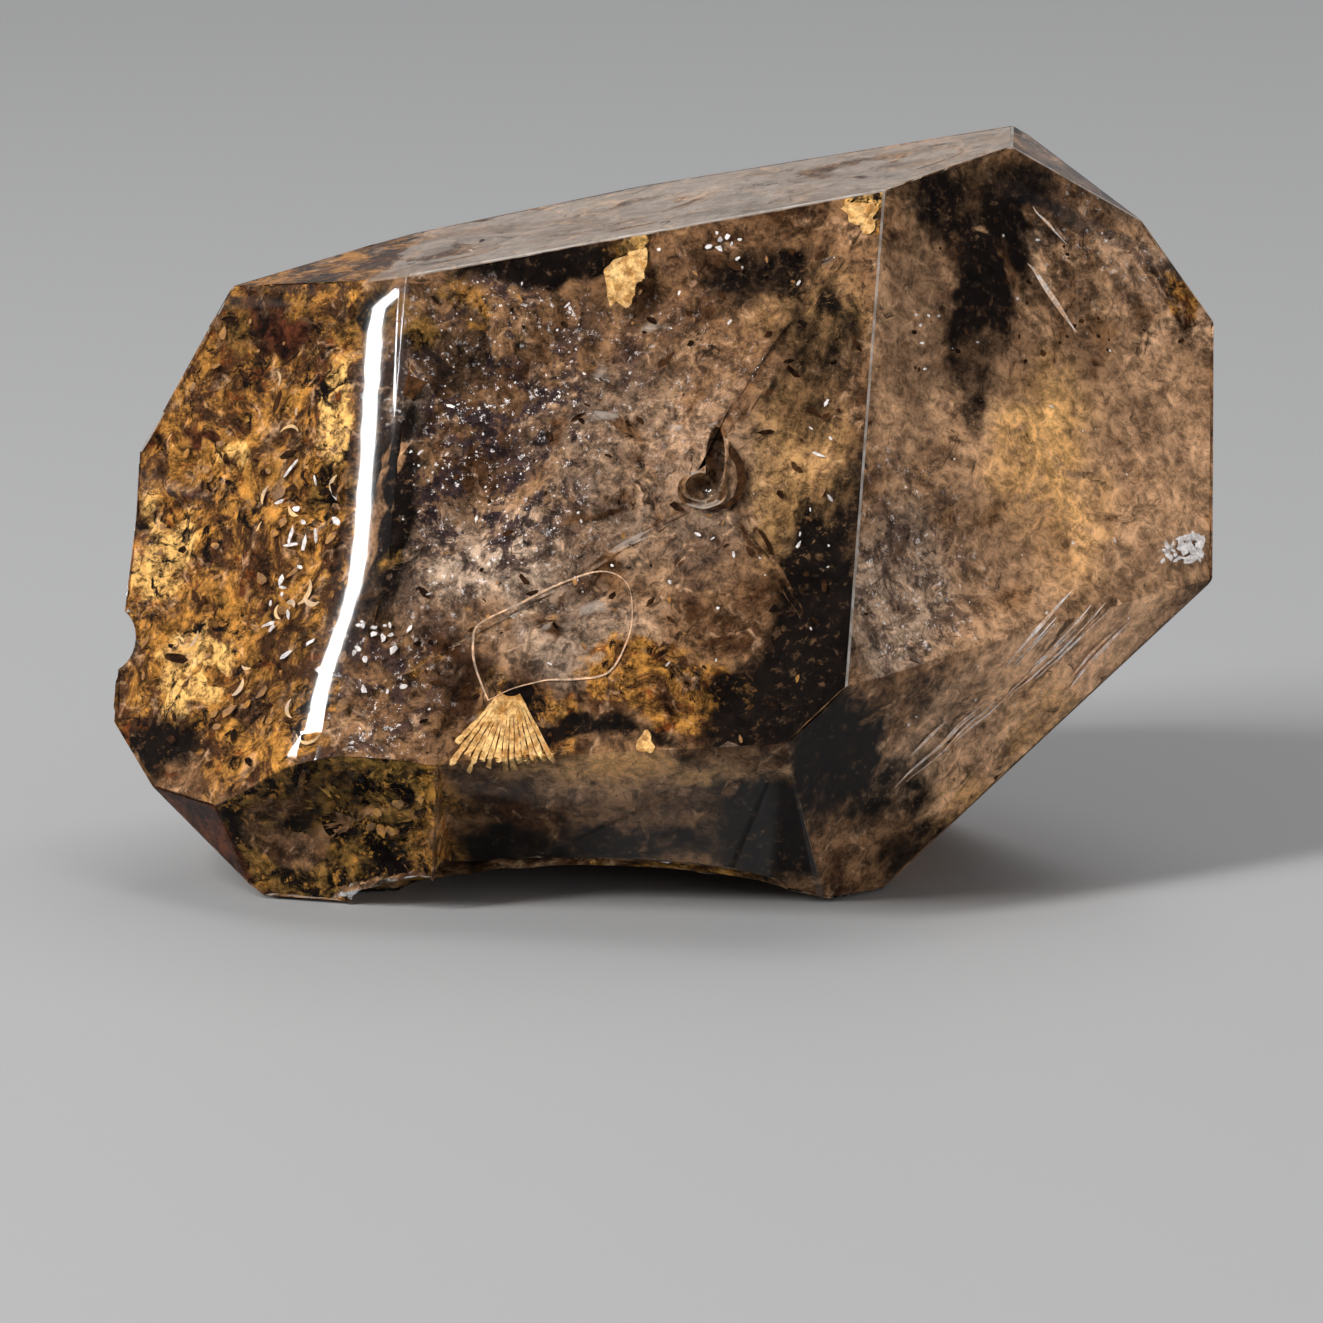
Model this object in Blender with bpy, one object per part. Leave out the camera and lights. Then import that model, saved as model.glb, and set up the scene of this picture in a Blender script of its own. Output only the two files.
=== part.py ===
"""A single smoky quartz crystal, lying on its side with its six-sided tip towards +X.

The body is a block cut by planes. Each growth face is named by the turn of its normal about the
crystal's long axis (0 faces the front, -Y, and the turn goes up over the top), by the tilt of that
normal towards the tip, and by its distance from the crystal's centre. The broken root end is cut by
planes given by compass bearing and elevation. Conchoidal hollows are bitten out with ellipsoids.
"""

import math

import bmesh
import bpy
from mathutils import Matrix, Vector

MM = 0.001

# How the crystal lies: its long axis rises towards the tip, and it is rolled about that axis.
AXIS_PITCH = 6.15
ROLL = 29.0
CENTRE_HEIGHT = 22.8 * MM

# Quartz: prism faces every 60 degrees, and tip faces whose normals lean 38.2 degrees to the tip.
TIP_TILT = 38.2

# name: (turn about the axis, tilt towards the tip, distance from the centre in mm)
GROWTH_FACES = {
    "prism_front": (1.1, 0.5, 19.5),
    "prism_top": (57.6, -4.7, 27.25),
    "prism_back_top": (120.2, -0.8, 25.1),
    "prism_back": (180.0, 0.0, 20.0),
    "tip_front": (-3.4, TIP_TILT - 0.3, 27.15),
    "tip_top": (61.6, TIP_TILT + 0.3, 42.9),
    "tip_back_top": (120.9, TIP_TILT + 1.8, 39.6),
    "tip_back": (181.4, TIP_TILT - 0.1, 27.6),
    "tip_under": (-119.5, TIP_TILT - 1.7, 30.1),
    "tip_front_low": (-60.2, TIP_TILT - 0.2, 30.6),
}

# The face below the front prism face, grown a step behind the root's lower corner.
LOW_FRONT_FACE = (-61.1, -0.5, 28.55)
STEP_CORNER = (-13.2, -25.0, 6.0)
STEP_BEARING = 168.0
STEP_ELEVATION = 8.0

# name: (bearing, elevation, distance from the centre in mm); bearing 0 is +X and 90 is +Y
ROOT_FACES = {
    "polished_root": (-123.0, 27.4, 26.9),
    "root_back_bevel": (106.1, 20.0, 21.7),
    "root_upper_back": (129.0, 10.4, 24.7),
    "root_end": (160.0, -15.1, 34.9),
    "root_lower_back": (150.0, -21.0, 29.8),
    "root_underside": (175.0, -50.6, 33.8),
    "root_red_facet": (-125.5, -21.2, 41.6),
    "root_low_front": (-96.0, -14.5, 31.4),
}

# Rounded stretches of the crystal's edges.
POLISH_ROUND = 2.6 * MM
POLISH_ROUND_STEPS = 6
POLISH_ROUND_PROFILE = 0.5
EDGE_WEAR = 0.14 * MM
WEAR_ANGLE = math.radians(22)

# The polished root face is bowed in between its upper and lower corners.
BOW_DEPTH = 1.7 * MM
BOW_HEIGHT = 26.5 * MM
BOW_TOP = 45.0 * MM
BOW_FOOT = 14.5 * MM
BOW_REACH = 16.0 * MM
BOW_LEVELS = range(14, 47, 2)
BOW_COLUMNS = range(-39, -22, 4)

# Normals closer than this belong to one face.
SAME_WAY = math.radians(1.5)

# Shell-shaped bites where the crystal broke. name: (middle on the surface in mm, the way out as
# bearing and elevation, half-width, half-height and depth in mm)
BITES = {
    "arch_under_front": ((-0.5, -15.0, 0.0), (-90.0, -80.0), 15.5, 12.0, 1.7),
    "arch_under_back": ((-3.0, 6.0, 0.0), (-90.0, -90.0), 19.0, 11.0, 2.8),
    "foot_heel": ((-13.4, -21.2, 0.3), (-60.0, -65.0), 5.0, 6.0, 0.5),
    "strip_under_front": ((-0.5, -20.8, 2.0), (-88.0, -48.0), 14.5, 3.0, 0.8),
    "low_corner_chip": ((-20.0, -27.0, 6.5), (-92.0, -12.0), 11.0, 10.0, 1.1),
    "root_shell_high": ((-30.0, 6.5, 32.0), (129.0, 10.0), 15.0, 17.0, 1.8),
    "root_shell_top": ((-24.0, 10.0, 40.0), (120.0, 16.0), 8.0, 9.0, 1.6),
    "root_shell_middle": ((-37.0, 3.5, 22.0), (152.0, -12.0), 9.0, 9.0, 1.6),
    "root_shell_back": ((-20.0, 18.0, 24.0), (120.0, 8.0), 12.0, 12.0, 1.8),
    "root_shell_low": ((-34.5, -1.0, 8.5), (162.0, -38.0), 14.0, 7.5, 1.7),
    "root_shell_foot": ((-26.0, 8.0, 4.0), (150.0, -50.0), 9.0, 6.0, 1.3),
    "root_notch_high": ((-39.8, -1.6, 35.0), (170.0, -10.0), 3.0, 1.2, 0.7),
    "root_notch_low": ((-40.6, -13.0, 17.0), (170.0, 10.0), 3.5, 1.6, 0.7),
    "back_shell": ((8.0, 15.8, 10.0), (92.0, -29.0), 15.0, 8.0, 1.6),
    "back_shell_side": ((-8.0, 19.0, 15.5), (96.0, -29.0), 8.0, 6.0, 1.1),
    "tip_chip_high": ((40.6, 1.0, 49.0), (10.0, 30.0), 3.0, 1.5, 0.35),
    "tip_chip_side": ((42.5, -1.5, 45.6), (0.0, 20.0), 4.0, 1.8, 0.4),
    "front_chip_high": ((6.7, -15.4, 33.7), (-86.0, 30.0), 0.5, 1.8, 0.3),
    "front_chip_low": ((6.0, -16.5, 31.9), (-96.0, 28.0), 0.9, 0.7, 0.3),
}
BITE_BULGE = 4.0
BITE_SEGMENTS = 40
BITE_RINGS = 20
UPRIGHT_WITHIN = 0.01

BLOCK_SIZE = 300 * MM

SMOKY_BROWN = (0.16, 0.12, 0.085, 1.0)
POLISH_ROUGHNESS = 0.08
QUARTZ_IOR = 1.544


def clear_scene():
    for old in list(bpy.data.objects):
        bpy.data.objects.remove(old, do_unlink=True)


def crystal_axes():
    """The long axis, and the two directions across it that turns are measured from."""
    pitch = math.radians(AXIS_PITCH)
    roll = math.radians(ROLL)
    axis = Vector((math.cos(pitch), 0.0, math.sin(pitch)))
    side = Vector((0.0, -1.0, 0.0))
    over = Vector((-math.sin(pitch), 0.0, math.cos(pitch)))
    front = side * math.cos(roll) + over * math.sin(roll)
    top = over * math.cos(roll) - side * math.sin(roll)
    return axis, front, top


def growth_normal(turn, tilt):
    axis, front, top = crystal_axes()
    turn = math.radians(turn)
    tilt = math.radians(tilt)
    across = front * math.cos(turn) + top * math.sin(turn)
    return across * math.cos(tilt) + axis * math.sin(tilt)


def compass_normal(bearing, elevation):
    bearing = math.radians(bearing)
    elevation = math.radians(elevation)
    flat = math.cos(elevation)
    return Vector((math.cos(bearing) * flat, math.sin(bearing) * flat, math.sin(elevation)))


def centre():
    return Vector((0.0, 0.0, CENTRE_HEIGHT))


def slice_off(mesh, point, normal):
    """Removes what lies beyond the plane and closes the cut with one flat face."""
    everything = mesh.verts[:] + mesh.edges[:] + mesh.faces[:]
    cut = bmesh.ops.bisect_plane(mesh, geom=everything, plane_co=point, plane_no=normal, clear_outer=True)
    rim = [part for part in cut["geom_cut"] if isinstance(part, bmesh.types.BMEdge)]
    if rim:
        bmesh.ops.edgenet_fill(mesh, edges=rim)


def block():
    mesh = bmesh.new()
    bmesh.ops.create_cube(mesh, size=BLOCK_SIZE)
    return mesh


def faced_block():
    """The crystal's outline, before the step and the hollows are taken out."""
    mesh = block()
    for turn, tilt, distance in GROWTH_FACES.values():
        normal = growth_normal(turn, tilt)
        slice_off(mesh, centre() + normal * distance * MM, normal)
    for bearing, elevation, distance in ROOT_FACES.values():
        normal = compass_normal(bearing, elevation)
        slice_off(mesh, centre() + normal * distance * MM, normal)
    slice_off(mesh, Vector((0, 0, 0)), Vector((0, 0, -1)))
    return mesh


def facing(face, normal):
    return face.normal.angle(normal) < SAME_WAY


def round_polished_edge(mesh):
    """Rolls the edge between the front face and the polished root face."""
    front = growth_normal(*GROWTH_FACES["prism_front"][:2])
    polished = compass_normal(*ROOT_FACES["polished_root"][:2])
    mesh.normal_update()
    shared = []
    for edge in mesh.edges:
        if len(edge.link_faces) < 2:
            continue
        first, second = edge.link_faces[:2]
        if facing(first, front) and facing(second, polished):
            shared.append(edge)
        elif facing(first, polished) and facing(second, front):
            shared.append(edge)
    bmesh.ops.bevel(
        mesh,
        geom=shared,
        offset=POLISH_ROUND,
        segments=POLISH_ROUND_STEPS,
        profile=POLISH_ROUND_PROFILE,
        affect="EDGES",
    )


def polished_patch(mesh):
    """The polished root face and the rolled strips between it and the front face."""
    front = growth_normal(*GROWTH_FACES["prism_front"][:2])
    polished = compass_normal(*ROOT_FACES["polished_root"][:2])
    spread = front.angle(polished) + SAME_WAY
    mesh.normal_update()
    patch = []
    for face in mesh.faces:
        from_front = face.normal.angle(front)
        if from_front > SAME_WAY and from_front + face.normal.angle(polished) < spread:
            patch.append(face)
    return patch


def score_patch(mesh, point, normal):
    """Adds a line of edges across the polished patch, which the bow can bend."""
    patch = polished_patch(mesh)
    edges = {edge for face in patch for edge in face.edges}
    verts = {vert for face in patch for vert in face.verts}
    bmesh.ops.bisect_plane(mesh, geom=patch + list(edges) + list(verts), plane_co=point, plane_no=normal)


def bow_amount(height):
    """Rises smoothly from both corners of the polished face to the deepest place."""
    if height > BOW_HEIGHT:
        share = (BOW_TOP - height) / (BOW_TOP - BOW_HEIGHT)
    else:
        share = (height - BOW_FOOT) / (BOW_HEIGHT - BOW_FOOT)
    share = min(max(share, 0.0), 1.0)
    return BOW_DEPTH * share * share * (3.0 - 2.0 * share)


def bow_polished_face(mesh):
    """Slides the rolled edge along the front face, which stays flat, and bends the root face."""
    front = growth_normal(*GROWTH_FACES["prism_front"][:2])
    polished = compass_normal(*ROOT_FACES["polished_root"][:2])
    along_edge = front.cross(polished).normalized()
    inward = along_edge.cross(front).normalized()
    if inward.x < 0:
        inward.negate()
    for level in BOW_LEVELS:
        score_patch(mesh, Vector((0, 0, level * MM)), Vector((0, 0, 1)))
    for reach in BOW_COLUMNS:
        score_patch(mesh, Vector((reach * MM, 0, 0)), Vector((1, 0, 0)))
    edge_point = centre() + front * GROWTH_FACES["prism_front"][2] * MM
    for vert in {vert for face in polished_patch(mesh) for vert in face.verts}:
        behind = (edge_point - vert.co).dot(front)
        fade = min(max(1.0 - behind / BOW_REACH, 0.0), 1.0)
        vert.co += inward * bow_amount(vert.co.z) * fade


def wear_edges(mesh):
    """Blunts the sharp edges between the faces. The rims of the hollows, cut later, stay sharp."""
    mesh.normal_update()
    sharp = [edge for edge in mesh.edges if edge.calc_face_angle(0.0) > WEAR_ANGLE]
    bmesh.ops.bevel(mesh, geom=sharp, offset=EDGE_WEAR, segments=1, affect="EDGES", clamp_overlap=True)


def new_object(name, mesh):
    data = bpy.data.meshes.new(name)
    mesh.to_mesh(data)
    mesh.free()
    made = bpy.data.objects.new(name, data)
    bpy.context.scene.collection.objects.link(made)
    return made


def as_cutter(made):
    made.hide_render = True
    made.display_type = "WIRE"
    return made


def low_front_step():
    """What lies in front of the low face, up to the step beside the root's lower corner."""
    mesh = block()
    normal = growth_normal(*LOW_FRONT_FACE[:2])
    slice_off(mesh, centre() + normal * LOW_FRONT_FACE[2] * MM, -normal)
    riser = compass_normal(STEP_BEARING, STEP_ELEVATION)
    slice_off(mesh, Vector(STEP_CORNER) * MM, riser)
    bmesh.ops.recalc_face_normals(mesh, faces=mesh.faces[:])
    return as_cutter(new_object("low_front_step", mesh))


def bite(name, middle, way_out, half_width, half_height, depth):
    """An ellipsoid that dips into the surface at its middle by the depth."""
    outward = compass_normal(*way_out)
    level = Vector((0, 0, 1)).cross(outward)
    if level.length < UPRIGHT_WITHIN:
        level = Vector((1, 0, 0))
    level.normalize()
    rising = outward.cross(level)
    bulge = depth * BITE_BULGE
    spread = math.sqrt(1.0 - ((bulge - depth) / bulge) ** 2)
    half_axes = Vector((half_width / spread, half_height / spread, bulge)) * MM
    mesh = bmesh.new()
    bmesh.ops.create_uvsphere(mesh, u_segments=BITE_SEGMENTS, v_segments=BITE_RINGS, radius=1.0)
    turn = Matrix((level, rising, outward)).transposed().to_4x4()
    place = Matrix.Translation(Vector(middle) * MM + outward * (bulge - depth) * MM)
    bmesh.ops.transform(mesh, matrix=place @ turn @ Matrix.Diagonal(half_axes).to_4x4(), verts=mesh.verts[:])
    return as_cutter(new_object(name, mesh))


def take_out(body, cutter):
    cut = body.modifiers.new(cutter.name, "BOOLEAN")
    cut.operation = "DIFFERENCE"
    cut.solver = "EXACT"
    cut.object = cutter


def smoky_quartz():
    material = bpy.data.materials.new("smoky_quartz")
    material.use_nodes = True
    surface = material.node_tree.nodes["Principled BSDF"]
    surface.inputs["Base Color"].default_value = SMOKY_BROWN
    surface.inputs["Roughness"].default_value = POLISH_ROUGHNESS
    surface.inputs["Metallic"].default_value = 0.0
    surface.inputs["IOR"].default_value = QUARTZ_IOR
    return material


def centre_on_floor(made, cutters):
    """Moves the crystal with its cutters, so that the finished box is centred over the origin."""
    bpy.context.view_layer.update()
    finished = made.evaluated_get(bpy.context.evaluated_depsgraph_get())
    mesh = finished.to_mesh()
    xs = [vert.co.x for vert in mesh.vertices]
    ys = [vert.co.y for vert in mesh.vertices]
    finished.to_mesh_clear()
    shift = Vector((-(min(xs) + max(xs)) / 2, -(min(ys) + max(ys)) / 2, 0.0))
    for each in [made] + cutters:
        each.data.transform(Matrix.Translation(shift))


def build_crystal():
    mesh = faced_block()
    round_polished_edge(mesh)
    bow_polished_face(mesh)
    wear_edges(mesh)
    bmesh.ops.recalc_face_normals(mesh, faces=mesh.faces[:])
    crystal = new_object("smoky_quartz_crystal", mesh)
    crystal.data.materials.append(smoky_quartz())
    cutters = [low_front_step()]
    for name, measures in BITES.items():
        cutters.append(bite(name, *measures))
    for cutter in cutters:
        take_out(crystal, cutter)
    centre_on_floor(crystal, cutters)


clear_scene()
build_crystal()
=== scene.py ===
import math
import random

import bmesh
import bpy
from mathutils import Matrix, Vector, noise
from mathutils.bvhtree import BVHTree
from mathutils.kdtree import KDTree


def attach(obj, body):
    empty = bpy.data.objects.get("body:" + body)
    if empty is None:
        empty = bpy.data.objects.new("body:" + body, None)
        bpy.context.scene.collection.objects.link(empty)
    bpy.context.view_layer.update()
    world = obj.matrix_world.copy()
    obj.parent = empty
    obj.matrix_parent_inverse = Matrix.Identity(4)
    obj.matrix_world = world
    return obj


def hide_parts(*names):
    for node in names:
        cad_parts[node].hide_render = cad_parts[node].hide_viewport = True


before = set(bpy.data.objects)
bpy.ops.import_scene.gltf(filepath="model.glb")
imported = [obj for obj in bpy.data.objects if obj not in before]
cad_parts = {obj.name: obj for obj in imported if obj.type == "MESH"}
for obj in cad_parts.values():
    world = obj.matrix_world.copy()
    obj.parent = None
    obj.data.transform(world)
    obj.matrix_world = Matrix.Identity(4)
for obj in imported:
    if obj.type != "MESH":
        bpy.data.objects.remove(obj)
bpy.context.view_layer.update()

MM = 0.001
CRYSTAL = "smoky_quartz_crystal"

# Camera: where it stands in millimetres, how far it looks down and to the side in degrees, and its
# lens and sensor in millimetres.
CAMERA_PLACE = (67.4, -463.5, 127.7)
CAMERA_DOWN = 13.6
CAMERA_TURN = 8.4
CAMERA_LENS = 163.3
SENSOR_WIDTH = 36.0
CLIP_START = 0.01

# The floor, in metres: half its width, and how far below the crystal it lies. Then its look.
FLOOR_HALF = 3.0
FLOOR_DROP = 0.0002
FLOOR_GREY = 0.40
FLOOR_ROUGHNESS = 0.55

# Lamps: name, bearing, elevation, distance, width and height in metres, and power.
LAMPS = (
    ("key_softbox", -145.0, 38.0, 0.9, 0.12, 0.60, 9.0),
    ("top_softbox", 70.0, 62.0, 2.0, 1.4, 1.4, 18.0),
    ("side_softbox", -12.0, 4.0, 1.0, 0.9, 0.25, 4.0),
)
LAMPS_AIM = (0.0, 0.0, 0.03)
SKY_COLOUR = (0.80, 0.82, 0.86, 1.0)
SKY_STRENGTH = 0.22

# Colours of the stone, and of the light and shade painted on it, as they look in daylight (0 to 255).
TONES = {
    "umber": (66, 43, 25),
    "bark": (128, 98, 70),
    # Near-black: the stone's smoke, and also painted shade.
    "smoke_and_shade": (14, 8, 6),
    "plum": (50, 39, 42),
    "amber": (172, 124, 58),
    "straw": (236, 200, 136),
    "rust": (110, 58, 24),
    "haze": (178, 158, 140),
    # Pale warm tone of streaks and cracks, and of the painted light that shines through the tip.
    "glow": (226, 188, 152),
    # White of frosty flecks and pale feathers, and of the painted glints.
    "frost_and_glint": (226, 226, 230),
    "honey": (222, 178, 118),
    "wheat": (212, 172, 104),
    "olive": (128, 98, 50),
    # Painted sheen: the grey that the top face mirrors.
    "sheen_grey": (156, 148, 141),
    "brick": (84, 46, 28),
}

# Quartz, its tints, and how strongly each kind of surface mirrors what is around it.
QUARTZ_IOR = 1.544
CLEAR_TINT = (0.97, 0.94, 0.91, 1.0)
BROKEN_TINT = (0.93, 0.88, 0.80, 1.0)
LAMP_TINT = (0.80, 0.74, 0.68, 1.0)
SKIN_GLOSS = 0.12
SKIN_ROUGHNESS = 0.02
ROLL_GLOSS = 0.9
ROLL_ROUGHNESS = 0.09
CLOUD_GLOSS = 0.04
CLOUD_ROUGHNESS = 0.6
FLAKE_GLOSS = 0.3
DARK_FLAKE_GLOSS = 0.02
# The worn edge strip, dark and pale: the pale is partly wear, partly a painted highlight.
WORN_DARK = (0.30, 0.26, 0.22, 1.0)
PALE_WEAR_AND_HIGHLIGHT = (0.56, 0.53, 0.50, 1.0)
WORN_ROUGHNESS = 0.35
WORN_CLEARNESS = 0.45
WHITE = (1.0, 1.0, 1.0, 1.0)

# Textures: size in millimetres, detail, roughness and twist. The two after them come without size.
TEXTURES = {
    "broad": (8.0, 8.0, 0.68, 0.8),
    "grain": (2.6, 9.0, 0.74, 0.5),
    "fine": (1.1, 8.0, 0.80, 0.4),
    "drift": (9.0, 7.0, 0.66, 0.4),
    "flecks": (0.7, 4.0, 0.80, 0.0),
    "stain": (3.6, 9.0, 0.78, 0.6),
    "rust": (2.6, 8.0, 0.76, 0.9),
    "bright": (2.3, 9.0, 0.80, 0.3),
    "gaps": (2.8, 9.0, 0.78, 0.5),
    "shade": (2.2, 9.0, 0.75, 1.2),
    "crumbs": (0.8, 5.0, 0.75, 0.0),
    "wave": (7.0, 2.0, 0.60, 0.0),
    "patchy": (2.0, 4.0, 0.60, 0.0),
    "ripple": (0.9, 5.0, 0.70, 0.0),
    "worn": (1.5, 5.0, 0.70, 0.0),
    "dust": (0.5, 4.0, 0.80, 0.0),
    "warp": (6.0, 3.0, 0.60, 0.0),
}
FLAKE_TEXTURE = (5.0, 0.70, 0.0)
STREAK_TEXTURE = (7.0, 0.65, 0.3)

# Where the flecks' texture is taken from, how the shade is drawn out, and in millimetres how far
# the patches' outlines wander.
FLECKS_SHIFT = (40.0, 0.0, 0.0)
SHADE_STRETCH = (1.0, 0.6, 0.5)
WARP_REACH = 7.0

# Smooth steps: from and to which value of a texture, or X, Y or Z in millimetres, and the lowest
# and highest share where they aren't 0 and 1.
STEPS = {
    "bark": (0.40, 0.56),
    "warm": (0.30, 0.55, 0.50, 1.0),
    "haze": (0.35, 0.55, 0.30, 1.0),
    "behind_y": (0.0, 7.0),
    "drift": (0.50, 0.64, 0.0, 0.70),
    "smoky": (0.47, 0.36, 0.0, 0.95),
    "top_sheen": (0.34, 0.56, 0.45, 0.95),
    "plum": (0.52, 0.46),
    "flecks": (0.59, 0.64),
    "amber": (0.45, 0.58),
    "rust": (0.55, 0.63),
    "wheat": (0.40, 0.52, 0.35, 0.90),
    "bright": (0.59, 0.68),
    "gaps": (0.47, 0.41),
    "honey": (0.32, 0.52),
    "root_x": (-21.0, -24.0),
    "root_z": (7.0, 12.0, 0.30, 0.75),
    "pale_streak": (0.50, 0.60),
    "dark_streak": (0.46, 0.37),
    "crack": (1.2, 1.8, 0.0, 0.50),
    "shade": (0.43, 0.34, 0.0, 0.85),
    "crumbs": (0.62, 0.54, 0.70, 1.0),
    "olive": (0.46, 0.58),
    "chip_x": (-12.5, -14.5),
    "rim_x": (-17.5, -15.0, 0.0, 0.80),
    "flaky": (0.42, 0.54),
    "flaky_crumbs": (0.56, 0.62),
    "red_x": (-27.0, -29.0),
    "brick": (0.40, 0.58),
    "mottle": (0.36, 0.64, 0.25, 1.75),
    "break_roughness": (0.35, 0.65, 0.10, 0.35),
    "two_tones": (0.38, 0.62),
    "dust": (0.30, 0.70, 0.55, 1.30),
    "worn": (0.40, 0.60),
    "facing": (0.84, 0.93),
    "inside": (0.0, 0.25),
}

# How much calmer the mottling is in the glowing patches, where light is painted, and on top, under the
# painted sheen.
CALM_GLOW = 0.55
CALM_TOP = 0.7

# Relief of a surface: strength, and height in metres.
CLOUD_RELIEF = (0.5, 0.0004)
SKIN_RELIEF = (0.25, 0.0002)
BROKEN_RELIEF = (0.5, 0.0003)

# Torn outlines: how far they wander and how soft they are.
TORN = (0.9, 0.16)
TORN_SMOKE_AND_SHADE = (1.0, 0.34)
SPOT_SOFTNESS = 0.5

# Streaks: how steeply they climb in degrees, size in millimetres, and how many times longer than wide.
BACK_STREAKS = (28.0, 3.4, 4.0)
TOP_STREAKS = (-4.0, 2.4, 7.0)
WISPS = (80.0, 1.8, 4.0)
RISING_STREAKS = (46.0, 1.5, 7.0)
FALLING_STREAKS = (-54.0, 1.5, 7.0)
STREAK_DEPTH = 0.5

# Healed cracks: a ridged noise.
CRACKS = {"Scale": 0.22, "Detail": 7.0, "Roughness": 0.55, "Lacunarity": 2.2, "Offset": 0.9, "Gain": 2.0}

# What shows through each part of the skin: X, Z, half width, half height, strength.
GOLD_SPOTS = (
    (-2.7, 48.0, 1.8, 3.2, 1.0),
    (15.6, 52.0, 1.6, 1.8, 1.0),
    (6.0, 43.5, 1.2, 1.2, 0.7),
    (-8.5, 14.5, 4.2, 4.0, 0.9),
    (3.0, 18.5, 7.0, 3.0, 1.0),
    (39.5, 44.0, 2.0, 3.0, 0.8),
    (4.0, 2.5, 8.0, 1.6, 0.8),
    (-14.5, 7.0, 1.6, 6.0, 0.8),
    (-24.0, 11.0, 4.0, 2.0, 0.6),
)
SOFT_GOLD_SPOTS = (
    (30.0, 34.0, 4.0, 6.0, 0.95),
    (32.0, 29.0, 3.0, 5.0, 0.8),
    (1.5, 11.8, 9.0, 1.7, 0.75),
    (12.0, 34.0, 3.5, 8.0, 0.4),
    (12.5, 45.0, 4.0, 3.0, 0.4),
    (24.0, 6.0, 4.0, 3.0, 0.5),
    (30.0, 12.0, 2.5, 5.0, 0.4),
)
BRIGHT_SPOTS = (
    (-40.0, 25.0, 3.0, 5.0, 0.9),
    (-24.6, 35.0, 1.6, 5.0, 0.7),
    (-36.5, 16.5, 4.5, 3.5, 0.85),
    (-34.0, 32.0, 3.0, 2.5, 0.5),
    (15.6, 52.0, 1.4, 1.4, 1.0),
    (-2.7, 48.0, 1.5, 2.6, 0.9),
)
# Dark patches: partly the stone's smoke, partly painted shade where the facets show shadow and dark internal
# reflections.
DARK_SPOTS = (
    (-9.0, 48.0, 8.0, 2.6, 1.0),
    (-16.0, 41.0, 4.0, 4.0, 0.6),
    (-19.5, 30.0, 2.6, 9.0, 0.85),
    (-12.0, 17.0, 5.0, 3.0, 0.5),
    (14.8, 22.0, 5.2, 9.5, 1.2),
    (9.5, 17.0, 4.5, 3.6, 1.0),
    (16.0, 32.0, 2.2, 6.0, 0.7),
    (12.5, 42.0, 4.5, 8.0, 0.62),
    (8.0, 47.5, 6.0, 2.5, 0.75),
    (-3.0, 14.8, 7.0, 1.0, 0.9),
    (24.5, 48.0, 3.2, 8.0, 0.85),
    (22.0, 52.0, 4.0, 3.5, 0.8),
    (28.0, 52.0, 4.0, 3.5, 0.8),
    (24.0, 40.5, 1.8, 6.0, 0.65),
    (35.0, 49.0, 5.0, 5.0, 0.35),
    (15.5, 13.0, 4.5, 5.5, 1.1),
    (19.0, 9.0, 5.0, 4.0, 0.8),
    (23.0, 14.5, 2.0, 5.0, 0.5),
    (11.5, 6.5, 5.5, 6.0, 1.1),
    (-10.5, 4.5, 6.0, 2.4, 0.9),
    (0.0, 5.5, 9.0, 2.2, 0.8),
    (21.0, 3.0, 6.0, 3.0, 0.6),
    (-22.0, 6.0, 6.0, 5.0, 0.55),
    (-38.5, 10.5, 4.5, 3.2, 0.9),
    (-33.0, 6.0, 5.0, 5.0, 0.6),
    (-32.0, 42.5, 6.0, 3.0, 0.5),
    (-31.0, 32.0, 5.0, 2.5, 0.4),
    (-28.0, 18.0, 4.0, 6.0, 0.4),
)
HAZE_SPOTS = (
    (-12.0, 26.5, 7.0, 4.0, 0.9),
    (0.0, 33.0, 9.0, 8.0, 0.35),
    (-5.0, 21.5, 6.0, 3.6, 0.6),
    (20.0, 24.0, 3.5, 7.0, 0.7),
    (-19.6, 36.7, 1.2, 4.0, 0.8),
)
# Glowing patches: painted light, a pale warm tint where light shines through the thin tip.
GLOW_SPOTS = (
    (37.5, 31.0, 7.0, 13.0, 0.36),
    (30.0, 33.0, 8.0, 10.0, 0.45),
    (27.0, 24.0, 7.0, 6.0, 0.4),
    (19.5, 41.0, 3.0, 10.0, 0.4),
    (33.0, 19.0, 9.0, 7.0, 0.75),
    (24.0, 11.0, 6.0, 5.0, 0.6),
    (1.5, 11.5, 9.0, 2.0, 0.6),
)
RISING_SPOTS = (
    (33.0, 19.5, 6.5, 7.0, 0.85),
    (24.0, 11.5, 7.0, 6.0, 0.75),
    (38.0, 28.0, 4.0, 5.0, 0.3),
)
FALLING_SPOTS = (
    (30.0, 46.0, 4.0, 6.0, 0.55),
    (36.0, 44.0, 5.0, 8.0, 0.3),
)
SPECKLE_SPOTS = (
    (-13.0, 36.0, 10.0, 14.0, 1.0),
    (21.0, 26.0, 5.0, 8.0, 0.7),
    (34.0, 48.0, 7.0, 6.0, 0.5),
    (-21.0, 17.0, 7.0, 6.0, 0.8),
    (0.0, 40.0, 8.0, 8.0, 0.4),
)

# How deep a spot reaches, as a share of its half height.
SPOT_DEPTH = 1.3

# Which way some faces look: the top, the front, the polished root, the low chip and the red facet.
TOP_FACING = (-0.19, -0.06, 0.98)
FRONT_AIM = (-0.044, -0.865, 0.500)
LEFT_AIM = (-0.48, -0.75, 0.46)
CHIP_WAY = (-0.10, -0.96, -0.25)
RED_WAY = (-0.54, -0.76, -0.36)

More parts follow.
